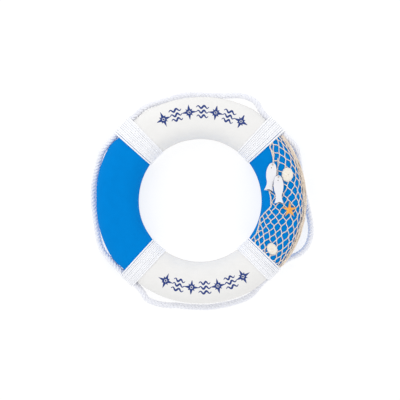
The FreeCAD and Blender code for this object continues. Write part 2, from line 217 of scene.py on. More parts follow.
def cross_directions(path, upward, closed=False):
    """Two directions across a line at each of its points. The first is as near upward as it can be."""
    if closed:
        ahead = np.roll(path, -1, axis=0) - np.roll(path, 1, axis=0)
    else:
        ahead = np.gradient(path, axis=0)
    ahead = ahead / np.linalg.norm(ahead, axis=1, keepdims=True)
    first = upward - (upward * ahead).sum(axis=1, keepdims=True) * ahead
    first = first / np.linalg.norm(first, axis=1, keepdims=True)
    return first, np.cross(ahead, first)


class Gathered:
    """Grids of points that become one mesh. Each point has a lay: where it is in its own cloth or cord."""

    def __init__(self):
        self.points = []
        self.lays = []
        self.faces = []
        self.count = 0

    def add_grid(self, points, lay, join_rows=False, join_columns=False, caps=False):
        """Rows and columns of points. Their order makes a tube's outside face outwards."""
        rows, columns = points.shape[:2]
        index = self.count + np.arange(rows * columns).reshape(rows, columns)
        if caps:
            self.faces.append(index[0].tolist())
            self.faces.append(index[-1, ::-1].tolist())
        if join_rows:
            index = np.vstack([index, index[:1]])
        if join_columns:
            index = np.hstack([index, index[:, :1]])
        corners = [index[:-1, :-1], index[:-1, 1:], index[1:, 1:], index[1:, :-1]]
        self.faces.extend(np.stack(corners, -1).reshape(-1, 4).tolist())
        self.points.append(points.reshape(-1, 3))
        self.lays.append(np.broadcast_to(lay, points.shape).reshape(-1, 3))
        self.count += rows * columns

    def piece(self, name, look_name, slot=None, rides_on=body, **values):
        """Makes the mesh and its object, with its look's material.

        values are further numbers that each point has, by name. slot is not used.
        """
        mesh = bpy.data.meshes.new(name)
        mesh.from_pydata(np.vstack(self.points), [], self.faces)
        mesh.polygons.foreach_set("use_smooth", [True] * len(mesh.polygons))
        lay = mesh.attributes.new("lay", "FLOAT_VECTOR", "POINT")
        lay.data.foreach_set("vector", np.vstack(self.lays).ravel())
        for value_name, numbers in values.items():
            mesh.attributes.new(value_name, "FLOAT", "POINT").data.foreach_set("value", numbers.ravel())
        mesh.materials.append(looks[look_name])
        made = bpy.data.objects.new(name, mesh)
        bpy.context.collection.objects.link(made)
        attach(made, rides_on)
        return made


def strand_outline(diameter, strands, pitch, points_per_strand):
    """Angles and distances from the middle for a rope's section, and each one's angle in its strand."""
    half_sector = math.pi / strands
    share = math.sin(half_sector) / (1 + math.sin(half_sector))
    high = diameter / 2 * share
    middle = diameter / 2 - high
    wide = high * math.hypot(1.0, 2 * math.pi * middle / pitch)
    turn = np.linspace(-half_sector, half_sector, points_per_strand, endpoint=False)
    square = (np.cos(turn) / high) ** 2 + (np.sin(turn) / wide) ** 2
    linear = middle * np.cos(turn) / high ** 2
    inside = np.clip(linear ** 2 - square * ((middle / high) ** 2 - 1), 0, None)
    distance = (linear + np.sqrt(inside)) / square
    in_strand = np.arctan2(distance * np.sin(turn) / wide, (distance * np.cos(turn) - middle) / high)
    angles = (turn + 2 * half_sector * np.arange(strands)[:, None]).ravel()
    return angles, np.tile(distance, strands), np.tile(in_strand, strands)


def add_twisted(gathered, path, upward, diameter, strands, pitch, points_per_strand,
                phase=0.0, closed=False, yarns=0, yarn_depth=0.0, groove=1.0, widening=1.0):
    """A twisted cord along an evenly spaced line. Returns the phase at its end.

    groove is the share of the grooves' depth that stays, and widening stretches the cord upward.
    """
    length = line_length(path) + (np.linalg.norm(path[0] - path[-1]) if closed else 0.0)
    turns = length / pitch
    if closed:
        turns = round(turns * strands) / strands
    share = np.linspace(0.0, 1.0, len(path), endpoint=not closed)[:, None]
    angles, distance, in_strand = strand_outline(diameter, strands, pitch, points_per_strand)
    yarn_turns = round(1.7 * turns)
    ripple = np.cos(yarns * (in_strand - 2 * math.pi * yarn_turns * share)) if yarns else 0.0
    distance = diameter / 2 - groove * (diameter / 2 - distance) + yarn_depth * ripple
    spin = angles + phase + 2 * math.pi * turns * share
    first, second = cross_directions(path, upward, closed)
    first = first * np.reshape(widening, (-1, 1))
    outwards = np.cos(spin)[..., None] * first[:, None] + np.sin(spin)[..., None] * second[:, None]
    points = path[:, None] + distance[..., None] * outwards
    lay = joined(share * length, in_strand * diameter / 4, angles)
    gathered.add_grid(points, lay, join_rows=closed, join_columns=True, caps=not closed)
    return phase + 2 * math.pi * turns


# ---- materials
class Look:
    """A material, made a node at a time."""

    def __init__(self, name, roughness, specular, sheen=0.0):
        self.material = bpy.data.materials.new(name)
        self.material.use_nodes = True
        self.tree = self.material.node_tree
        self.shader = self.tree.nodes["Principled BSDF"]
        self.shader.inputs["Roughness"].default_value = roughness
        self.shader.inputs["Specular IOR Level"].default_value = specular
        self.shader.inputs["Sheen Weight"].default_value = sheen

    def node(self, kind, inputs, output=0, **settings):
        made = self.tree.nodes.new(kind)
        for name, value in settings.items():
            setattr(made, name, value)
        for name, value in inputs.items():
            self.feed(made.inputs[name], value)
        return made.outputs[output]

    def feed(self, socket, value):
        if isinstance(value, bpy.types.NodeSocket):
            self.tree.links.new(value, socket)
        else:
            socket.default_value = value

    def attribute(self, name, output="Vector"):
        return self.node("ShaderNodeAttribute", {}, output, attribute_name=name)

    def place(self):
        """Where a point is in the piece's own space, in metres."""
        return self.node("ShaderNodeTexCoord", {}, "Object")

    def stretched(self, vector, scale):
        return self.node("ShaderNodeMapping", {"Vector": vector, "Scale": scale})

    def math(self, operation, first, second=0.0, third=0.0):
        return self.node("ShaderNodeMath", {0: first, 1: second, 2: third}, operation=operation)

    def noise(self, vector, size, detail=2.0):
        """Noise from 0 to 1 with lumps of about a size in metres."""
        inputs = {"Vector": vector, "Scale": 1.0 / size, "Detail": detail}
        return self.node("ShaderNodeTexNoise", inputs)

    def range(self, value, low, high, to_low=0.0, to_high=1.0):
        inputs = {"Value": value, "From Min": low, "From Max": high, "To Min": to_low, "To Max": to_high}
        return self.node("ShaderNodeMapRange", inputs)

    def mix(self, amount, first, second):
        inputs = {0: amount, 6: (*first, 1.0) if isinstance(first, tuple) else first,
                  7: (*second, 1.0) if isinstance(second, tuple) else second}
        return self.node("ShaderNodeMix", inputs, 2, data_type="RGBA")

    def colour(self, value):
        self.feed(self.shader.inputs["Base Color"], value)

    def glow(self, colour, strength):
        self.shader.inputs["Emission Color"].default_value = (*colour, 1.0)
        self.shader.inputs["Emission Strength"].default_value = strength

    def relief(self, height, depth):
        """Bump from a height of 0 to 1, which stands for a depth in metres."""
        inputs = {"Height": height, "Distance": depth, "Strength": 1.0}
        self.feed(self.shader.inputs["Normal"], self.node("ShaderNodeBump", inputs))


thread_spacing = 0.55 * mm
navy = (0.022, 0.05, 0.22)


def weave(look):
    """The height of a plain weave, from the lay of the cloth."""
    lay = look.node("ShaderNodeSeparateXYZ", {0: look.attribute("lay")}).node
    threads = [look.math("SINE", look.math("MULTIPLY", lay.outputs[axis], math.pi / thread_spacing))
               for axis in (0, 1)]
    over = look.math("MULTIPLY", *threads)
    slubs = look.noise(look.stretched(look.attribute("lay"), (0.15, 1.0, 1.0)), 0.8 * mm)
    return look.math("ADD", look.math("MULTIPLY_ADD", over, 0.35, 0.4), look.math("MULTIPLY", slubs, 0.3))


def canvas(name, colour, shade, seam, printed=False, specular=0.2):
    """Canvas with a plain weave, slightly uneven in colour and with painted shade in the low places of its
    weave, with or without the navy print.
    """
    look = Look(name, 0.9, specular)
    height = weave(look)
    mottle = look.noise(look.place(), 14 * mm, 4.0)
    # The colour follows random mottling and the weave's height, so the low places of the weave get painted
    # shade.
    uneven = look.math("ADD", look.math("MULTIPLY", mottle, 0.6), look.math("MULTIPLY", height, 0.4))
    cloth = look.mix(look.range(uneven, 0.25, 0.75), shade, colour)
    across = look.node("ShaderNodeSeparateXYZ", {0: look.attribute("lay")}, 1)
    from_seam = look.math("ABSOLUTE", look.math("SUBTRACT", look.math("ABSOLUTE", across), half_round))
    # The canvas is drawn darker and browner in a narrow band along each seam, at the hole and at the rim.
    cloth = look.mix(look.range(from_seam, 1.6 * mm, 0.3 * mm, 0.0, 0.7), cloth, seam)
    if printed:
        ragged = look.math("MULTIPLY_ADD", height, -0.12 * mm, look.attribute("print_edge", "Fac"))
        ink = look.range(ragged, 0.06 * mm, -0.16 * mm)
        wear = look.range(look.noise(look.place(), 1.2 * mm, 3.0), 0.2, 0.42, 0.72, 1.0)
        cloth = look.mix(look.math("MULTIPLY", ink, wear), cloth, navy)
    look.colour(cloth)
    look.relief(height, 0.12 * mm)
    return look.material


def fibres(name, colour, shade, fibre_size, depth, glow=0.0):
    """Twisted cotton or twine, with fine fibres along its yarns. Where glow is given, the cotton glows
    faintly blue: painted light that lifts it out of its shade.
    """
    look = Look(name, 0.92, 0.15, sheen=0.15)
    lay = look.attribute("lay")
    fine = look.noise(look.stretched(lay, (0.12, 1.0, 1.0)), fibre_size, 4.0)
    patchy = look.noise(look.place(), 9 * mm, 3.0)
    amount = look.math("ADD", look.math("MULTIPLY", fine, 0.6), look.math("MULTIPLY", patchy, 0.5))
    look.colour(look.mix(look.range(amount, 0.35, 0.75), shade, colour))
    look.relief(fine, depth)
    # A faint blue glow: painted light, not a lamp, that brightens the cord and rope where they lie in shade.
    look.glow((0.70, 0.77, 1.0), glow)
    return look.material


def painted_wood():
    """White paint over a grain that runs along the fish, thin and chipped where the noise is high."""
    look = Look("painted_wood", 0.55, 0.35)
    lay = look.attribute("lay")
    grain = look.noise(look.stretched(lay, (1.0, 0.07, 1.0)), 0.7 * mm, 4.0)
    blotch = look.noise(lay, 5 * mm, 3.0)
    paint = look.mix(look.range(blotch, 0.3, 0.7), (0.80, 0.80, 0.84), (0.90, 0.90, 0.93))
    thin = look.range(grain, 0.62, 0.78, 0.0, 0.35)
    look.colour(look.mix(thin, paint, (0.62, 0.58, 0.55)))
    look.relief(grain, 0.12 * mm)
    return look.material


def shell_chalk():
    """Cream shell with darker growth bands, which run across its ribs."""
    look = Look("seashell", 0.5, 0.4)
    lay = look.attribute("lay")
    bands = look.noise(look.stretched(lay, (0.15, 1.0, 1.0)), 1.6 * mm, 3.0)
    grit = look.noise(look.place(), 0.5 * mm, 3.0)
    tint = look.mix(look.range(bands, 0.3, 0.7), (0.86, 0.78, 0.66), (0.95, 0.92, 0.86))
    look.colour(look.mix(look.range(grit, 0.55, 0.8, 0.0, 0.4), tint, (0.70, 0.58, 0.44)))
    look.relief(grit, 0.08 * mm)
    return look.material


def starfish_skin():
    """Dried, dyed starfish, orange with paler raised grains."""
    look = Look("starfish", 0.75, 0.3)
    place = look.place()
    grains = look.noise(place, 0.9 * mm, 3.0)
    patches = look.noise(place, 4 * mm, 2.0)
    tint = look.mix(look.range(patches, 0.35, 0.65), (0.95, 0.40, 0.06), (1.0, 0.54, 0.13))
    look.colour(look.mix(look.range(grains, 0.5, 0.75, 0.0, 0.6), tint, (1.0, 0.72, 0.32)))
    look.relief(grains, 0.25 * mm)
    return look.material


def plain(name, colour, shade, roughness, size):
    """A slightly uneven colour and surface for small pieces."""
    look = Look(name, roughness, 0.4)
    lumps = look.noise(look.place(), size, 3.0)
    look.colour(look.mix(look.range(lumps, 0.3, 0.7), shade, colour))
    look.relief(lumps, 0.1 * size)
    return look.material


looks = {
    "canvas_white": canvas("canvas_white", (0.88, 0.875, 0.865), (0.84, 0.835, 0.825), (0.62, 0.53, 0.45),
                           printed=True),
    "canvas_blue": canvas("canvas_blue", (0.0, 0.235, 0.70), (0.0, 0.21, 0.64), (0.0, 0.13, 0.45),
                          specular=0.03),
    "thread_white": fibres("thread_white", (0.86, 0.85, 0.83), (0.74, 0.72, 0.70), 0.2 * mm, 0.05 * mm),
    "thread_blue": fibres("thread_blue", (0.01, 0.20, 0.62), (0.0, 0.14, 0.48), 0.2 * mm, 0.05 * mm),
    # The cord and the rope glow faintly (0.05 and 0.07): painted light that lifts them out of their shade.
    "cotton_cord": fibres("cotton_cord", (0.98, 0.985, 1.0), (0.94, 0.945, 0.975), 0.3 * mm, 0.02 * mm, 0.05),
    "cotton_rope": fibres("cotton_rope", (0.94, 0.945, 0.97), (0.82, 0.825, 0.88), 0.5 * mm, 0.14 * mm, 0.07),
    "net_twine": fibres("net_twine", (1.0, 0.90, 0.80), (0.90, 0.76, 0.64), 0.25 * mm, 0.1 * mm),
    "gathered_twine": fibres("gathered_twine", (1.0, 0.91, 0.80), (0.88, 0.74, 0.60), 0.25 * mm, 0.1 * mm),
    "painted_wood": painted_wood(),
    "seashell": shell_chalk(),
    "starfish": starfish_skin(),
    "hot_glue": plain("hot_glue", (0.86, 0.84, 0.78), (0.76, 0.73, 0.66), 0.3, 2 * mm),
    "foam": plain("foam", (0.93, 0.93, 0.92), (0.85, 0.85, 0.84), 0.8, 3 * mm),
    "fish_eye": plain("fish_eye", (0.20, 0.17, 0.16), (0.10, 0.08, 0.08), 0.4, 0.5 * mm),
}


# ---- the rope
def turn_shifts(name):
    """How far each turn of a wrap is to the side of its middle, at the inner and the outer edge."""
    turns, inner_gap, outer_gap = wraps[name][1:4]
    steps = np.arange(turns) - (turns - 1) / 2
    return steps * (cord_diameter + inner_gap * mm), steps * (cord_diameter + outer_gap * mm)


def rope_under_wrap(name):
    """How far out and how high the rope's middle is under a wrap."""
    angle = math.radians(wraps[name][4])
    apart = edge_radius + rope_gap + rope_diameter / 2
    return mean_radius + flat_half + apart * math.cos(angle), mid_height + apart * math.sin(angle)


def tuck_half_length(name):
    return turn_shifts(name)[1][-1] + cord_diameter / 2 + tuck_past_wrap


def beside_wrap(name, sideways):
    """A point on the rope's straight line under a wrap, sideways from its middle."""
    out, height = rope_under_wrap(name)
    bearing = wraps[name][0]
    return polar(bearing, out, height) + polar(bearing + 90, sideways)


def rope_line(first_wrap, last_wrap, route):
    """The smooth line of a free rope: a spline whose control points are the route's points."""
    leave = tuck_half_length(first_wrap)
    enter = tuck_half_length(last_wrap)
    points = [beside_wrap(first_wrap, -leave), beside_wrap(first_wrap, -leave - rope_exit_run)]
    floor_height = rope_fullness * rope_diameter / 2
    points += [polar(bearing, outer_radius + out * mm, floor_height + up * mm) for bearing, out, up in route]
    points += [beside_wrap(last_wrap, enter + rope_exit_run), beside_wrap(last_wrap, enter)]
    return spline_line(points)


def spline_line(points):
    """Points along a NURBS spline with these control points."""
    curve = bpy.data.curves.new("route", "CURVE")
    curve.dimensions = "3D"
    curve.resolution_u = 24
    spline = curve.splines.new("NURBS")
    spline.points.add(len(points) - 1)
    for control, point in zip(spline.points, points):
        control.co = (*point, 1.0)
    spline.order_u = 3
    spline.use_endpoint_u = True
    holder = bpy.data.objects.new("route", curve)
    line = bpy.data.meshes.new_from_object(holder)
    path = np.array([vertex.co for vertex in line.vertices])
    bpy.data.objects.remove(holder)
    return path


def add_rope(gathered, path, phase, pitch=rope_pitch):
    upward = np.array([0.0, 0.0, 1.0])
    return add_twisted(gathered, path, upward, rope_fullness * rope_diameter, 3, pitch, 14, phase,
                       yarns=rope_yarns, yarn_depth=rope_yarn_depth, groove=rope_groove)


def make_ropes():
    """The free ropes and the stretches held under the wraps. The strands run on from each to the next."""
    phase = 0.0
    for name, (first_wrap, last_wrap, length, route) in rope_routes.items():
        path = resampled(rope_line(first_wrap, last_wrap, route), rope_step)
        gathered = Gathered()
        phase = add_rope(gathered, path, phase)
        rope = gathered.piece(name + "_strands", "cotton_rope")
        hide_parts(name)
        half = tuck_half_length(last_wrap)
        held = resampled([beside_wrap(last_wrap, half), beside_wrap(last_wrap, -half)], rope_step)
        pitch = rope_pitch
        # the last held stretch is twisted so that its strands meet those that the first rope starts with
        if name == list(rope_routes)[-1]:
            thirds = round((phase / (2 * math.pi) + 2 * half / rope_pitch) * 3)
            pitch = 2 * half / (thirds / 3 - phase / (2 * math.pi))
        gathered = Gathered()
        phase = add_rope(gathered, held, phase, pitch)
        tuck = gathered.piece("rope_held_" + last_wrap, "cotton_rope")
        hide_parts("rope_tuck_" + last_wrap)


make_ropes()


# ---- the wraps
def turn_line(name, inner_shift, outer_shift):
    """One closed turn of cord, pulled tight round the ring and the rope, and the way across its plane."""
    bearing = wraps[name][0]
    inner = np.array([math.sqrt(inner_radius ** 2 - inner_shift ** 2), inner_shift, mid_height])
    outer = np.array([math.sqrt(outer_radius ** 2 - outer_shift ** 2), outer_shift, mid_height])
    along = unit(outer - inner)
    rope_out, rope_height = rope_under_wrap(name)
    rope = inner + along * ((rope_out - inner[0]) / along[0]) + [0, 0, rope_height - mid_height]
    reach = edge_radius + cord_gap + cord_diameter / 2
    rope_reach = rope_diameter / 2 + cord_gap + cord_diameter / 2
    rounds = [(inner + along * edge_radius, reach), (outer - along * edge_radius, reach), (rope, rope_reach)]
    up = np.array([0.0, 0.0, 1.0])
    angles = np.radians(np.arange(0, 360, 2.0))
    facing = np.cos(angles)[:, None] * along + np.sin(angles)[:, None] * up
    touched = np.stack([centre + radius * facing for centre, radius in rounds])
    farthest = (touched * facing).sum(axis=2).argmax(axis=0)
    line = touched[farthest, np.arange(len(angles))]
    turn = np.array(Matrix.Rotation(math.radians(bearing), 3, "Z"))
    return line @ turn.T, turn @ np.cross(along, up)


def make_wrap(name):
    """A wrap's turns, a little uneven, with one or two gaps between them."""
    chance = np.random.RandomState(sum(map(ord, name)))
    inner_gap, outer_gap = wraps[name][2:4]
    # the side that its blue cover is on, where the last turn lies apart: +1 is towards higher bearings
    blue_side = 1 if name in ("upper_left", "lower_right") else -1
    last_turns = last_turn_share * np.max(turn_shifts(name)[1])
    gathered = Gathered()
    for inner_shift, outer_shift in zip(*turn_shifts(name)):
        wander = chance.uniform(-1, 1, 2) * turn_wander
        if outer_shift * blue_side > last_turns:
            wander = wander + blue_side * last_turn_apart
        line, sideways = turn_line(name, inner_shift + wander[0], outer_shift + wander[1])
        path = resampled(line, 0.6 * mm, closed=True)
        outwards = (np.hypot(path[:, 0], path[:, 1]) - inner_radius) / (outer_radius - inner_radius)
        gap = (inner_gap + (outer_gap - inner_gap) * np.clip(outwards, 0, 1)) * mm
        spread = (cord_diameter + gap) / cord_diameter * chance.uniform(0.96, 1.05)
        add_twisted(gathered, path, sideways, cord_diameter, 3, cord_pitch, 5,
                    phase=chance.uniform(0, 2), closed=True, groove=cord_groove, widening=spread)
    wrap = gathered.piece("wound_cord_" + name, "cotton_cord")
    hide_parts("wrap_" + name)


for wrap_name in wraps:
    make_wrap(wrap_name)


# ---- the canvas covers
# name: the middle of its printed band, as a radius and a bearing, and which way up the band reads
print_bands = {"cover_top": (145.0 * mm, 88.5, 1), "cover_bottom": (142.5 * mm, 273.0, -1)}
print_spacing = 21.8 * mm
motifs_each_side = 3
# the edge value, in metres, of a place that is far from any print
far_off = 1.0
canvas_step = 1.0 * mm
drawn_in_length = 14 * mm
# bearing, and how far the covers swell out there at the rim, in mm
rim_swells = [
    (-160.0, 2.2), (-147.0, 3.0), (-125.0, 0.0), (-95.0, -0.8), (-60.0, 1.0), (-40.0, 0.0), (40.0, 0.0),
    (60.0, 3.4), (75.0, 1.4), (97.0, -0.8), (120.0, 1.8), (150.0, 4.0), (163.0, 3.4), (180.0, 0.8),
]


def line_distance(x, y, corners):
    """The distance from points to a line through corners."""
    nearest = np.full(x.shape, far_off)
    for (ax, ay), (bx, by) in zip(corners, corners[1:]):
        share = ((x - ax) * (bx - ax) + (y - ay) * (by - ay)) / ((bx - ax) ** 2 + (by - ay) ** 2)
        share = np.clip(share, 0, 1)
        distance = np.hypot(x - ax - share * (bx - ax), y - ay - share * (by - ay))
        nearest = np.minimum(nearest, distance)
    return nearest


def wave_motif(x, y):
    """Three short waves, one above another. Below zero is inside the print."""
    half_length = 9.6
    edge = np.full(x.shape, far_off)
    for level in (-7.6, 0.0, 7.6):
        wave = [(at * mm, (level + 2.2 * math.sin(at * 2 * math.pi / half_length)) * mm)
                for at in np.linspace(-half_length, half_length, 25)]
        edge = np.minimum(edge, line_distance(x, y, wave))
    return edge - (1.15 * mm + 0.45 * mm * np.cos(x / (half_length * mm) * math.pi))


def star_motif(x, y):
    """A compass star: four long points and four short ones between them."""
    angle = np.arctan2(y, x)
    distance = np.hypot(x, y)
    edge = np.full(x.shape, far_off)
    for turn, reach, waist in ((0.0, 13.5, 2.7), (math.pi / 4, 8.2, 2.2)):
        near = np.abs((angle - turn + math.pi / 4) % (math.pi / 2) - math.pi / 4)
        along = distance * np.cos(near)
        aside = distance * np.sin(near)
        slope = math.hypot(reach - waist, waist)
        outside = ((along - reach * mm) * waist + aside * (reach - waist)) / slope
        edge = np.minimum(edge, outside)
    ring = np.abs(distance - 2.0 * mm) - 0.5 * mm
    return np.maximum(edge, -ring)


def print_edge(name, bearing, across):
    """How far points of a cover are outside the motifs of its printed band."""
    middle_radius, middle_bearing, upright = print_bands[name]
    plan = ring_point(bearing, across)
    radius = np.hypot(plan[..., 0], plan[..., 1])
    x = np.radians(middle_bearing - bearing) * middle_radius * upright
    y = (radius - middle_radius) * upright
    edge = np.full(np.shape(x), far_off)
    for number in range(-motifs_each_side, motifs_each_side + 1):
        motif = star_motif if number % 2 else wave_motif
        edge = np.minimum(edge, motif(x - number * print_spacing, y))
    return np.where(np.abs(across) < half_round, edge, far_off)


def cover_lift(bearing, across, first, last):
    """How far the canvas stands off the ring: loose between the wraps, drawn in and puckered at them."""
    from_wrap = np.radians(np.minimum(bearing - first, last - bearing)) * mean_radius - drawn_in_length
    from_wrap = np.clip(from_wrap, 0, None)
    free = 1 - bell(from_wrap, 9 * mm)
    swell = np.interp(bearing, *zip(*rim_swells), period=360) * mm
    near_rim = np.clip(across / half_round, 0, 1) ** 3
    swell = swell * near_rim * np.clip(2 - across / half_round, 0, 1) ** 3
    loose = free * (0.5 * mm + swell)
    slow = np.sin(across / (11 * mm) + bearing / 9.0) + np.sin(across / (17 * mm) - bearing / 6.5)
    pucker = np.sin(across / (1.9 * mm) + 1.2 * np.sin(across / (9 * mm)))
    puckered = 0.22 * mm * pucker * np.exp(-from_wrap / (6 * mm)) * (from_wrap > 0)
    from_seam = np.abs(np.abs(across) - half_round)
    ridge = np.where(across < 0, 0.55, 0.25) * mm * bell(from_seam, 0.8 * mm)
    drawn_in = 0.3 * mm * bell(from_seam, 3 * mm)
    return loose + 0.12 * mm * slow + puckered + ridge - drawn_in


def cover_ends(name):
    """The bearings that a cover starts and ends at."""
    first_wrap, last_wrap = covers[name][:2]
    trim = math.degrees(sleeve_gap / 2 / mean_radius)
    first = wraps[first_wrap][0] + trim
    return first, first + (wraps[last_wrap][0] - wraps[first_wrap][0]) % 360 - 2 * trim


def on_cover(name, bearing, across, lift=0.0):
    """Points on a cover's own uneven surface, lifted off it."""
    return ring_point(bearing, across, cover_lift(bearing, across, *cover_ends(name)) + lift)


def add_stitches(name):
    """Two rows of stitches beside each of a cover's seams, at the hole and at the rim."""
    gathered = Gathered()
    first, last = cover_ends(name)
    share = np.linspace(0.0, 1.0, 5)
    lift = 0.3 * mm * np.sin(math.pi * share) - 0.05 * mm
    for seam in (-half_round, half_round):
        radius = inner_radius if seam < 0 else outer_radius
        half_stitch = math.degrees(stitch_length / 2 / radius)
        for across in (seam - stitch_from_seam, seam + stitch_from_seam):
            for middle in np.arange(first, last, math.degrees(stitch_spacing / radius))[1:]:
                bearing = middle + half_stitch * (2 * share - 1)
                path = on_cover(name, bearing, np.full(5, across), lift)
                normal = ring_normal(middle, across)
                add_twisted(gathered, path, normal, stitch_diameter, 2, stitch_length, 3)
    colour = covers[name][2]
    gathered.piece(name + "_stitches", "thread_" + colour.split("_")[1], colour)


def make_cover(name):
    """A cover's canvas, a tube with its weave's lay, and its print where it has one."""
    colour = covers[name][2]
    first, last = cover_ends(name)
    columns = round(2 * half_section / canvas_step)
    rows = round(math.radians(last - first) * mean_radius / canvas_step)
    across = np.linspace(-half_section, half_section, columns, endpoint=False)[None, :]
    bearing = np.linspace(first, last, rows)[:, None]
    points = ring_point(bearing, across, cover_lift(bearing, across, first, last))
    lay = joined(np.radians(bearing) * mean_radius, across, 0.0)
    gathered = Gathered()
    gathered.add_grid(points, lay, join_columns=True)
    edge = np.full(points.shape[:2], far_off)
    if name in print_bands:
        edge = print_edge(name, bearing + 0 * across, across + 0 * bearing)
    cover = gathered.piece(name + "_canvas", colour, print_edge=edge)
    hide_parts(name)


for cover_name in covers:
    make_cover(cover_name)
    add_stitches(cover_name)


# ---- the net
# The net's inner edge: bearing, and how far it is outside the middle of the tube in plan, in mm.
net_inner_edge = [
    (-48.0, -29.5), (-39.2, -29.5), (-30.6, -27.5), (-16.3, -31.5), (-11.0, -27.0), (-4.5, -19.0),
    (8.6, -21.0), (22.0, -8.0), (31.7, 3.5), (37.4, 6.5), (43.0, 27.0), (48.0, 30.0),
]
cell_half_along = 10.4 * mm
cell_half_turn = math.degrees(cell_half_along / (mean_radius + 12 * mm))
widest_half_across = 8.3 * mm
narrowest_half_across = 4.7 * mm
gathered_half_across = 2.0 * mm
twine_nominal = 1.75 * mm
knot_size = 3.1 * mm
edge_knot_size = 2.4 * mm
net_columns = 24
gather_strands = 13


def wrap_side(name, side, across=0.0):
    """The bearing of a wrap's edge towards higher (+1) or lower (-1) bearings, at a place across."""
    inner_shift, outer_shift = (shifts[-1] for shifts in turn_shifts(name))
    radius = np.hypot(*ring_point(0.0, across)[:2])
    share = (radius - inner_radius) / (outer_radius - inner_radius)
    shift = inner_shift + (outer_shift - inner_shift) * share + 0.3 * cord_diameter
    return wraps[name][0] + side * math.degrees(shift / radius)


net_first = wrap_side("lower_right", 1)
net_last = wrap_side("upper_right", -1)
net_rim_across = flat_half + edge_radius * math.acos(net_rim_height / (edge_radius + net_gap + net_thickness))


def net_inner_across(bearing):
    bearings, outsides = zip(*net_inner_edge)
    return across_at(np.interp(bearing, bearings, outsides) * mm)


def net_place(row, column, chance):
    """The bearing and the place across of a crossing of the net, which is denser towards the rim."""
    across = net_rim_across
    bearing = net_first + row * cell_half_turn
    share = min(1.0, max(0.0, (bearing - net_first) / (net_last - net_first)))
    widest = narrowest_half_across + (widest_half_across - narrowest_half_across) * share
    for step in range(column):
        across -= min(widest, gathered_half_across + 0.65 * mm * step)
    bearing += 1.6 * math.sin(across / (14 * mm)) + 0.5 * math.sin(row * 0.7 + column * 0.4)
    if column:
        across += chance.uniform(-0.9, 0.9) * mm
        bearing += chance.uniform(-0.35, 0.35)
    return np.array([bearing, across])


def add_twine(gathered, bearing, across, lift, diameter=twine_nominal, phase=0.0):
    """A twine over the right cover, through places on it."""
    lift = lift + diameter / 2
    path = resampled(on_cover("cover_right", bearing, across, lift), 0.75 * mm)
    out = path - polar(np.degrees(np.arctan2(path[:, 1], path[:, 0])), mean_radius, mid_height)
    add_twisted(gathered, path, out, diameter, 2, twine_pitch, 4, phase, groove=0.6)


def trefoil(count, spin, thickness):
    """A closed loop with three crossings, about 6 wide, turned by a spin, and this far up and down."""
    turn = once_round(count)
    x = np.sin(turn + spin) + 2 * np.sin(2 * turn - spin)
    y = np.cos(turn + spin) - 2 * np.cos(2 * turn - spin)
    return joined(x, y, -thickness * np.sin(3 * turn))


def add_knot(gathered, place, chance, size=knot_size):
    """A small knot of twine on the cover: a trefoil, pressed flat."""
    normal = ring_normal(*place)
    sideways = unit(np.cross(normal, [0.0, 0.0, 1.0] if abs(normal[2]) < 0.9 else [0.0, 1.0, 0.0]))
    along = np.cross(normal, sideways)
    x, y, z = trefoil(22, chance.uniform(0, 2 * math.pi), 0.9).T[..., None]
    reach = (size - 0.8 * twine_diameter) / 6
    centre = on_cover("cover_right", *place, 0.9 * mm)
    path = centre + reach * (x * sideways + y * along + z * normal)
    add_twisted(gathered, path, normal, 0.85 * twine_diameter, 2, 3 * twine_pitch, 3, closed=True)


def inside_net(place):
    bearing, across = place
    clear_of_wraps = wrap_side("lower_right", 1, across) <= bearing <= wrap_side("upper_right", -1, across)
    return clear_of_wraps and across >= net_inner_across(bearing)


def edge_of_net(inside, outside):
    """The place between two where the net ends."""
    for _ in range(12):
        middle = (inside + outside) / 2
        if inside_net(middle):
            inside = middle
        else:
            outside = middle
    return inside


def make_net():
    """The knotted meshes, and the doubled strand along their inner edge."""
    chance = np.random.RandomState(5)
    rows = math.ceil((net_last - net_first) / cell_half_turn) + 3
    places = {(row, column): net_place(row, column, chance)
              for row in range(-2, rows) for column in range(net_columns) if (row + column) % 2 == 0}
    gathered = Gathered()
    for (row, column), place in places.items():
        if inside_net(place) and column:
            add_knot(gathered, place, chance)
        for ahead in ((row + 1, column + 1), (row + 1, column - 1)):
            if ahead not in places:
                continue
            start, end = place, places[ahead]
            if not inside_net(start) and not inside_net(end):
                continue
            cut = None
            if not inside_net(end):
                end = cut = edge_of_net(start, end)
            elif not inside_net(start):
                start = cut = edge_of_net(end, start)
            if cut is not None and cut[1] < net_inner_across(cut[0]) + knot_size:
                add_knot(gathered, cut, chance, edge_knot_size)
            share = np.linspace(0, 1, 9)
            bow = np.sin(math.pi * share) * chance.uniform(-0.7, 0.9) * mm
            bow += np.sin(2 * math.pi * share) * (start[1] - end[1]) * chance.uniform(0.05, 0.13)
            sway = np.sin(2 * math.pi * share) * chance.uniform(-0.35, 0.35) * mm
            bearing = start[0] + (end[0] - start[0]) * share + np.degrees(sway / mean_radius)
            across = start[1] + (end[1] - start[1]) * share + bow
            float_up = np.sin(math.pi * share) * chance.uniform(0.1, 0.7) * mm
            add_twine(gathered, bearing, across, 0.15 * mm + float_up, phase=chance.uniform(0, 3))
    edge_bearing = np.arange(net_first, net_last, 0.5)
    for apart, wave, lift in ((0.0, 0.5, 0.3), (1.3, 0.9, 0.5)):
        ripple = wave * mm * np.sin(edge_bearing / 1.35 + 2 * apart) + apart * mm
        fade = np.clip((edge_bearing - 6) / 8, 0, 1) if apart else 1.0
        add_twine(gathered, edge_bearing, net_inner_across(edge_bearing) + ripple * fade,
                  lift * mm, 1.15 * twine_nominal)
    net = gathered.piece("net_meshes", "net_twine")
    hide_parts("net")
    return net


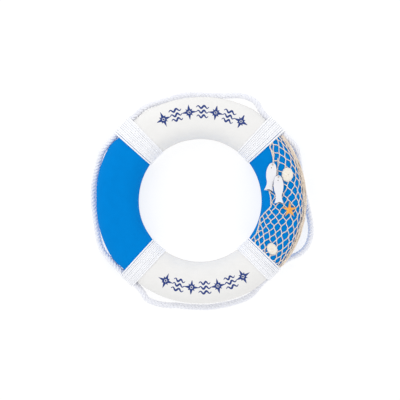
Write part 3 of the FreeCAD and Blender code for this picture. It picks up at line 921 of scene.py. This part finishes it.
def make_gathered_edge():
    """The net's outer edge: its last meshes drawn together into a loose bundle along the rim."""
    chance = np.random.RandomState(11)
    middle = flat_half + edge_radius * math.radians(76)
    bearing = np.arange(net_first, net_last, 0.6)
    full = 0.45 + 0.55 * np.sin(math.pi * (bearing - net_first) / (net_last - net_first)) ** 0.7
    gathered = Gathered()
    for strand in range(gather_strands):
        turn = 2 * math.pi * strand / gather_strands + bearing * chance.uniform(0.02, 0.09)
        turn = turn + 0.9 * np.sin(bearing / chance.uniform(3, 6) + chance.uniform(0, 6))
        wide = full * (4.4 + 1.3 * np.sin(bearing / chance.uniform(2, 4) + chance.uniform(0, 6))) * mm
        across = middle + wide * np.cos(turn)
        lift = full * 2.0 * mm * (1 + np.sin(turn)) + 0.15 * mm
        add_twine(gathered, bearing, across, lift, phase=chance.uniform(0, 3))
        first_knot = net_first + chance.uniform(1, 6)
        for knot_bearing in np.arange(first_knot, net_last - 1, chance.uniform(5, 8)):
            at = np.interp(knot_bearing, bearing, across)
            add_knot(gathered, (knot_bearing, at), chance)
    edge = gathered.piece("net_gathered_edge", "gathered_twine", "net_twine")
    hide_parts("net_edge")
    return edge


make_net()
make_gathered_edge()

# ---- what hangs and sits on the net
fish_length = 46.0 * mm
fish_width = 16.5 * mm
fish_thickness = 3.0 * mm
fish_waist = 10.0 * mm
fish_tail_width = 15.5 * mm
fish_tail_notch = 2.4 * mm
# the rings of a fish's eye, a flat dome on its front
fish_eye_radii = [0.85 * mm * share for share in (1.0, 0.95, 0.75, 0.4)]
fish_eye_heights = [fish_thickness + rise * mm for rise in (-0.1, 0.12, 0.22, 0.27)]
string_hole_radius = 1.3 * mm
string_hole_from_head = 2.8 * mm
string_diameter = 1.0 * mm
string_pitch = 3.0 * mm
string_gap = 0.3 * mm
string_above_net = 0.15 * mm
string_knot_diameter = 3.0 * mm
shell_wall = 1.1 * mm
starfish_above_net = 0.9 * mm

# name: where its string starts, to the side of the hole and beyond it, and the string's length, in mm
fish_strings = {"fish_left": (-2.5, 27.0, 32.2), "fish_right": (0.2, 31.5, 36.6)}

# name: bearing, how far it is outside the middle of the tube, which way its hinge end points, the
# place where the net leans as the shell does, width, length, height, in mm and degrees
shell_places = {
    "shell_upper": (16.4, 12.1, 88.0, 12.318, 19.0, 23.5, 7.5),
    "shell_lower": (-34.0, 5.3, 120.0, 5.3, 16.0, 20.0, 6.5),
}
# the same first four for the starfish, whose Y is one of its arms
starfish_place = (-6.0, 10.5, 90.0, 12.793)


def net_top(radius):
    """The height of the net's top over the ring's front, at a radius."""
    past_flat = max(0.0, abs(radius - mean_radius) - flat_half)
    return mid_height + math.sqrt((edge_radius + net_gap + net_thickness) ** 2 - past_flat ** 2)


def placing(origin, up, towards):
    """A function from a piece's own X, Y and Z to points. Y points as near towards as Z, up, lets it."""
    along = unit(towards - up * towards.dot(up))
    across = np.cross(along, up)
    return lambda x, y, z: origin + x[..., None] * across + y[..., None] * along + z[..., None] * up


def seat(bearing, outside, heading, leans_as_at, lift):
    """Where a piece sits on the net, as a function from its own X, Y and Z to points."""
    radius = mean_radius + outside * mm
    origin = polar(bearing, radius, net_top(radius) + lift)
    past_flat = max(0.0, abs(leans_as_at) * mm - flat_half)
    lean = math.copysign(math.asin(past_flat / (edge_radius + net_gap + net_thickness)), leans_as_at)
    return placing(origin, polar(bearing, math.sin(lean), math.cos(lean)), polar(heading, 1.0))


def fish_seat(name):
    """A fish's own X, Y and Z: its hinge is its Z at its string hole, and Y points to its head."""
    joint = next(joint for joint in frame["joints"] if joint["child"] == name)
    origin = np.array(joint["pos_m"])
    low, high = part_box(name)
    return placing(origin, unit(np.array(joint["axis"])), origin - np.array((low + high) / 2))


def smooth_through(corners, per_span):
    """A smooth line through corners, one of its ends to the other."""
    corners = np.array(corners, float)
    padded_corners = np.vstack([2 * corners[0] - corners[1], corners, 2 * corners[-1] - corners[-2]])
    share = np.linspace(0, 1, per_span, endpoint=False)[:, None]
    spans = []
    for a, b, c, d in zip(*(padded_corners[skipped:] for skipped in range(4))):
        bend = 2 * a - 5 * b + 4 * c - d + share * (3 * (b - c) + d - a)
        spans.append(b + 0.5 * share * (c - a + share * bend))
    return np.vstack(spans + [corners[-1:]])


def make_fish(name):
    """A fish sawn from thin board, with rounded edges, a carved gill and tail, and a hole for its string."""
    profile = smooth_through([
        (0.0, 0.0), (0.20 * fish_width, 0.028 * fish_length), (0.36 * fish_width, 0.105 * fish_length),
        (0.5 * fish_width, 0.30 * fish_length), (0.455 * fish_width, 0.52 * fish_length),
        (fish_waist / 2, 0.71 * fish_length), (fish_waist / 2 + 0.6 * mm, 0.86 * fish_length),
        (fish_tail_width / 2, fish_length),
    ], 16)[1:]
    half_width, from_head = profile[:, :1], profile[:, 1:]
    turn = once_round(72)[None, :]
    squared = 0.42
    sideways = np.sign(np.cos(turn)) * np.abs(np.cos(turn)) ** squared
    upwards = np.sign(np.sin(turn)) * np.abs(np.sin(turn)) ** squared
    from_ends = np.minimum(from_head, fish_length - from_head) / (1.2 * mm)
    thin = np.sqrt(np.clip(from_ends * (2 - from_ends), 0.15, 1)) * (from_ends < 1) + (from_ends >= 1)
    x = half_width * sideways
    notch = fish_tail_notch * (1 - np.abs(sideways)) * (from_head / fish_length) ** 12
    y = string_hole_from_head - from_head + notch
    gill = bell(from_head - 0.27 * fish_length + 14 * x ** 2, 0.45 * mm)
    rays = np.clip(np.cos(x * 2 * math.pi / (2.9 * mm)), 0, 1) * (from_head > 0.84 * fish_length)
    carved = (0.35 * mm * gill + 0.3 * mm * rays) * (upwards > 0.6)
    z = fish_thickness / 2 * (1 + thin * upwards) - carved
    points = fish_seat(name)(x, y, z)
    lay = joined(x, y, z)
    gathered = Gathered()
    gathered.add_grid(points, lay, join_columns=True, caps=True)
    fish = gathered.piece(name + "_carved", "painted_wood", rides_on=name)
    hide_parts(name)
    hole = add_round(name, "hole", "painted_wood", (0.0, 0.0), [string_hole_radius] * 2,
                     [-2.0 * fish_thickness, 2.0 * fish_thickness])
    cut_away(fish, hole)
    add_round(name, "eye", "fish_eye", (-1.0 * mm, -5.6 * mm), fish_eye_radii, fish_eye_heights)


def add_round(name, part, look_name, middle, radii, heights):
    """A round solid on a fish, from rings of these radii at these heights in the fish's own space."""
    turn = once_round(20)[None, :]
    radii = np.array(radii)[:, None]
    x = middle[0] + radii * np.cos(turn)
    y = middle[1] + radii * np.sin(turn)
    points = fish_seat(name)(*np.broadcast_arrays(x, y, np.array(heights)[:, None]))
    gathered = Gathered()
    gathered.add_grid(points, points, join_columns=True, caps=True)
    return gathered.piece(name + "_" + part, look_name, "painted_wood", rides_on=name)


def cut_away(piece, cutter):
    """Cuts one mesh out of another, and removes the cutter."""
    cut = piece.modifiers.new("cut", "BOOLEAN")
    cut.operation = "DIFFERENCE"
    cut.solver = "EXACT"
    cut.object = cutter
    evaluated = piece.evaluated_get(bpy.context.evaluated_depsgraph_get())
    cut_mesh = bpy.data.meshes.new_from_object(evaluated)
    piece.modifiers.clear()
    piece.data = cut_mesh
    bpy.data.objects.remove(cutter)


def make_string(name):
    """A fish's string, from the net, under its head and up through its hole to a knot."""
    sideways, beyond, length = fish_strings[name]
    place = fish_seat(name)
    radius = string_diameter / 2

    def own(x, y, z):
        return place(np.array(x), np.array(y), np.array(z))

    start = own(sideways * mm, beyond * mm, 0.0)
    start[2] = net_top(math.hypot(start[0], start[1])) + string_above_net + radius
    corner = own(0.0, 0.0, -string_gap - radius)
    top = own(0.0, 0.0, fish_thickness + string_gap + string_knot_diameter / 2)
    short_run = np.linalg.norm(top - corner)
    near_corner = corner + (start - corner) / np.linalg.norm(start - corner) * short_run
    path = resampled(spline_line([start, near_corner, corner, top]), 0.4 * mm)
    gathered = Gathered()
    towards_side = own(1.0, 0.0, 0.0) - own(0.0, 0.0, 0.0)
    add_twisted(gathered, path, towards_side, 1.2 * string_diameter, 2, string_pitch, 5)
    knot = top + (string_knot_diameter - string_diameter) / 6 * trefoil(40, 0.0, 2.0)
    knot_upward = np.array([0.1, 0.2, 1.0])
    add_twisted(gathered, knot, knot_upward, string_diameter, 2, string_pitch, 4, closed=True)
    string = gathered.piece(name + "_twine", "gathered_twine", "net_twine")
    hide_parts(name + "_string")


def make_shell(name):
    """A ribbed shell: a fan of ribs from its hinge end, domed, and hollow underneath."""
    width, length, height = shell_places[name][4:]
    place = seat(*shell_places[name][:4], net_gap)
    ribs, lip, rib_height, growth_height = 11, 0.35, 0.42, 0.07
    turn = once_round(170)[None, :]
    out = np.linspace(0.0, 1.0, 34)[1:, None] ** 0.8
    hinge = np.array([0.0, 0.47 * length])
    x = out * width / 2 * np.cos(turn)
    y = out * length / 2 * np.sin(turn)
    fan = np.arctan2(x - hinge[0], hinge[1] - y + 0.4)
    from_hinge = np.hypot(x - hinge[0], hinge[1] - y) / length
    rib = np.cos(fan * 2 * ribs) * np.clip(from_hinge * 3, 0, 1)
    growth = np.sin(from_hinge * 46) * 0.5 + np.sin(from_hinge * 23 + 1)
    crown = np.clip(1 - out ** 2.4, 0, 1) ** 0.6
    beak = 0.12 * height * bell(from_hinge - 0.12, 0.1) * bell(x, 3.0)
    dome = lip + (height - lip) * crown * (0.93 + 0.07 * y / length)
    z = dome + rib_height * rib + growth_height * growth + beak
    scallop = 1 + 0.028 * rib * out ** 4
    top = joined(x * scallop, y * scallop, np.clip(z, 0.05, height))
    under = top[::-1] * [0.93, 0.93, 1.0] - [0.0, 0.0, shell_wall / mm]
    under[..., 2] = np.clip(under[..., 2], 0.0, None)
    shape = np.vstack([top, under]) * mm
    lay = joined(fan * 10, from_hinge * length, 0.0) * mm
    gathered = Gathered()
    gathered.add_grid(place(shape[..., 0], shape[..., 1], shape[..., 2]), np.vstack([lay, lay[::-1]]),
                      join_columns=True, caps=True)
    shell = gathered.piece(name + "_ribbed", "seashell")
    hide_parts(name)


def make_starfish():
    """A dried starfish: five tapering arms with a raised ridge, covered in small round grains."""
    place = seat(*starfish_place, starfish_above_net)
    chance = np.random.RandomState(3)
    tip, waist, thickness = 13.6, 4.3, 3.3
    columns, grain_tries = 200, 240
    turn = once_round(columns)
    half_arm = math.pi / 5
    from_arm = np.abs((turn - math.pi / 2 + half_arm) % (2 * half_arm) - half_arm)
    waist_out, waist_aside = waist * math.cos(half_arm), waist * math.sin(half_arm)
    straight = waist_aside * tip / (waist_aside * np.cos(from_arm) + (tip - waist_out) * np.sin(from_arm))
    outline = np.minimum(straight, 12.7 + 0.9 * np.cos(from_arm * 9))
    outline = outline * (1 + 0.012 * np.sin(turn * 37))

    def surface(out, around):
        """The starfish's top at a share of the way out, and at a place in the list of directions."""
        ridge = np.maximum(bell(from_arm[around], 0.22), 1 - out)
        return thickness * np.clip(1 - out ** 2.2, 0, 1) ** 0.55 * (0.62 + 0.38 * ridge)

    out = np.linspace(0, 1, 26)[1:, None] ** 0.75
    every = np.arange(columns)[None, :]
    x = out * outline * np.cos(turn)
    y = out * outline * np.sin(turn)
    top = np.stack([x, y, surface(out, every) + 0.02], -1)
    under = top[::-1] * [1.0, 1.0, 0.0]
    shape = np.vstack([top, under]) * mm
    gathered = Gathered()
    gathered.add_grid(place(shape[..., 0], shape[..., 1], shape[..., 2]), shape, join_columns=True, caps=True)
    spot = once_round(8)[None, :]
    layer = np.array([0.0, 0.6, 1.15, 1.5])[:, None]
    for _ in range(grain_tries):
        around = chance.randint(columns)
        share = chance.uniform(0.03, 0.93) ** 0.6
        if from_arm[around] > 0.35 and share * outline[around] > 3.6:
            continue
        size = chance.uniform(0.28, 0.5)
        height = float(surface(share, around))
        grain_x = share * outline[around] * math.cos(turn[around]) + size * np.cos(layer) * np.cos(spot)
        grain_y = share * outline[around] * math.sin(turn[around]) + size * np.cos(layer) * np.sin(spot)
        grain_z = height - 0.1 + size * np.sin(layer) + 0 * spot
        grain = place(grain_x * mm, grain_y * mm, grain_z * mm)
        gathered.add_grid(grain, grain, join_columns=True, caps=True)
    starfish = gathered.piece("starfish_grained", "starfish")
    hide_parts("starfish")


for fish_name in fish_strings:
    make_fish(fish_name)
    make_string(fish_name)
for shell_name in shell_places:
    make_shell(shell_name)
make_starfish()

# ---- the CAD pieces that stay
kept_nodes = {"foam_core": "foam", "shell_upper_glue": "hot_glue", "shell_lower_glue": "hot_glue",
              "starfish_glue": "hot_glue"}
for node_name, look_name in kept_nodes.items():
    node_mesh = frame["nodes"][node_name].data
    node_mesh.materials.clear()
    node_mesh.materials.append(looks[look_name])


# ---- the stage
floor_reach = 30.0
floor_glow = 0.74
world_strength = 0.94


def make_stage():
    """A pale floor that gives off a little light of its own, as one lit from all sides seems to."""
    floor_mesh = bpy.data.meshes.new("floor")
    corners = [(-floor_reach, -floor_reach, 0), (floor_reach, -floor_reach, 0),
               (floor_reach, floor_reach, 0), (-floor_reach, floor_reach, 0)]
    floor_mesh.from_pydata(corners, [], [(0, 1, 2, 3)])
    floor = bpy.data.objects.new("floor", floor_mesh)
    bpy.context.collection.objects.link(floor)
    look = Look("floor", 0.9, 0.0)
    look.shader.inputs["Base Color"].default_value = (0.3, 0.3, 0.3, 1.0)
    look.glow((1.0, 1.0, 1.0), floor_glow)
    floor_mesh.materials.append(look.material)


def add_lamp(name, place, size, power):
    lamp = bpy.data.objects.new(name, bpy.data.lights.new(name, "AREA"))
    lamp.data.size = size
    lamp.data.energy = power
    lamp.location = place
    lamp.rotation_euler = (-Vector(place)).to_track_quat("-Z", "Y").to_euler()
    bpy.context.collection.objects.link(lamp)


make_stage()
add_lamp("key", (-1.0, 1.5, 2.1), 2.0, 12.0)
world = bpy.data.worlds.new("studio")
bpy.context.scene.world = world
world.use_nodes = True
world.node_tree.nodes["Background"].inputs["Color"].default_value = (1.0, 1.0, 1.0, 1.0)
world.node_tree.nodes["Background"].inputs["Strength"].default_value = world_strength
bpy.context.scene.view_settings.view_transform = "Standard"
